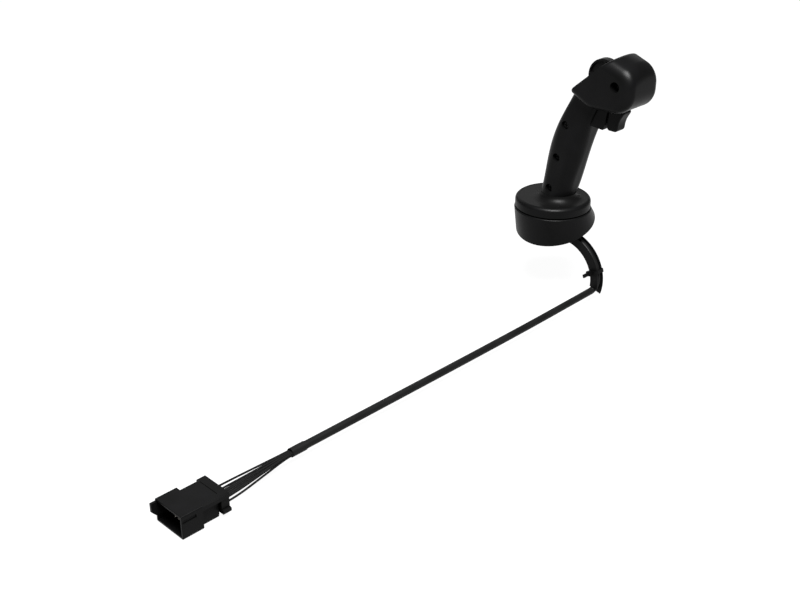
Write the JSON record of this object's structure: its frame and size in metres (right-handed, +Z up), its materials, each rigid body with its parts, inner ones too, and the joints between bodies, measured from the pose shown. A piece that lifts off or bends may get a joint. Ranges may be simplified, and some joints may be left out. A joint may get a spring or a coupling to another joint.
{
  "type": "industrial joystick",
  "caption": "Hand joystick on a round slanted base with a sprung two-axis stick, thumb roller, finger trigger and a cable with a sealed connector.",
  "frame": {"origin": "centre of the slanted mounting face under the base", "axes": "+Z up along the stick's side view, +X to the operator's right, where the cable runs, +Y forward, where the trigger points"},
  "size_m": [0.5292, 0.1277, 0.2455],
  "materials": {
    "housing": "satin moulded, near black",
    "grip": "satin moulded, near black",
    "soft_black": "dull moulded rubber",
    "cable_jacket": "smooth extruded jacket",
    "wire": "thin extruded insulation",
    "steel": "turned",
    "dark_screw": "black coated steel",
    "bronze": "sintered bearing",
    "magnet": "plated",
    "board": "coated circuit board",
    "contact": "tin plated"
  },
  "bodies": {
    "base": {"base_housing": "housing", "base_plate": "housing", "plate_screws": "steel", "retaining_ring": "housing", "boot": "soft_black", "gimbal_carrier": "housing", "carrier_screws": "steel", "outer_bushes": "bronze", "sensor_board": "board", "hall_sensor": "housing", "cable_grommet": "soft_black", "strain_relief": "housing", "relief_screws": "steel", "cable_tie": "housing", "cable": "cable_jacket", "jacket_sleeve": "cable_jacket", "wire_1": "wire", "wire_2": "wire", "wire_3": "wire", "wire_4": "wire", "wire_5": "wire", "wire_6": "wire", "wire_7": "wire", "wire_8": "wire", "connector_housing": "housing", "rear_seal": "soft_black", "wedge_lock": "housing", "connector_pins": "contact"},
    "gimbal_ring": {"gimbal_ring": "steel", "outer_trunnions": "steel", "inner_bushes": "bronze"},
    "stick": {"stick_hub": "steel", "inner_trunnion": "steel", "stick_magnet": "magnet", "stick_shaft": "steel", "grip_right_shell": "grip", "grip_left_shell": "grip", "grip_screws": "dark_screw", "head_right_shell": "grip", "head_left_shell": "grip", "head_screw": "dark_screw", "face_plate": "grip", "roller_cradle": "housing", "roller_axle": "steel", "trigger_housing": "grip", "microswitch": "housing", "trigger_spring": "steel"},
    "roller": {"thumb_roller": "grip"},
    "trigger": {"trigger": "grip", "trigger_pin": "steel"},
    "plunger": {"switch_plunger": "housing"}
  },
  "joints": [
    {"name": "fore_aft_tilt", "type": "hinge", "parent": "base", "child": "gimbal_ring", "pos_m": [0.00585, 0, 0.015], "axis": [1, 0, 0], "range_deg": [-18, 18], "stiffness_Nm_per_rad": 4, "deforming": ["boot"]},
    {"name": "side_tilt", "type": "hinge", "parent": "gimbal_ring", "child": "stick", "pos_m": [0.00585, 0, 0.015], "axis": [0, 1, 0], "range_deg": [-18, 18], "stiffness_Nm_per_rad": 4, "deforming": ["boot"]},
    {"name": "roller_turn", "type": "hinge", "parent": "stick", "child": "roller", "pos_m": [0.00585, 0.0482, 0.154], "axis": [1, 0, 0], "range_deg": [-30, 30], "stiffness_Nm_per_rad": 0.05},
    {"name": "trigger_pull", "type": "hinge", "parent": "stick", "child": "trigger", "pos_m": [0.00585, 0.0635, 0.1215], "axis": [1, 0, 0], "range_deg": [-8, 0], "stiffness_Nm_per_rad": 0.2, "deforming": ["trigger_spring"]},
    {"name": "plunger_slide", "type": "slide", "parent": "stick", "child": "plunger", "axis": [0, 1, 0], "range_m": [-0.0009, 0]}
  ],
  "couplings": [
    {"joint": "plunger_slide", "follows": "trigger_pull", "m_per_rad": 0.0064}
  ]
}
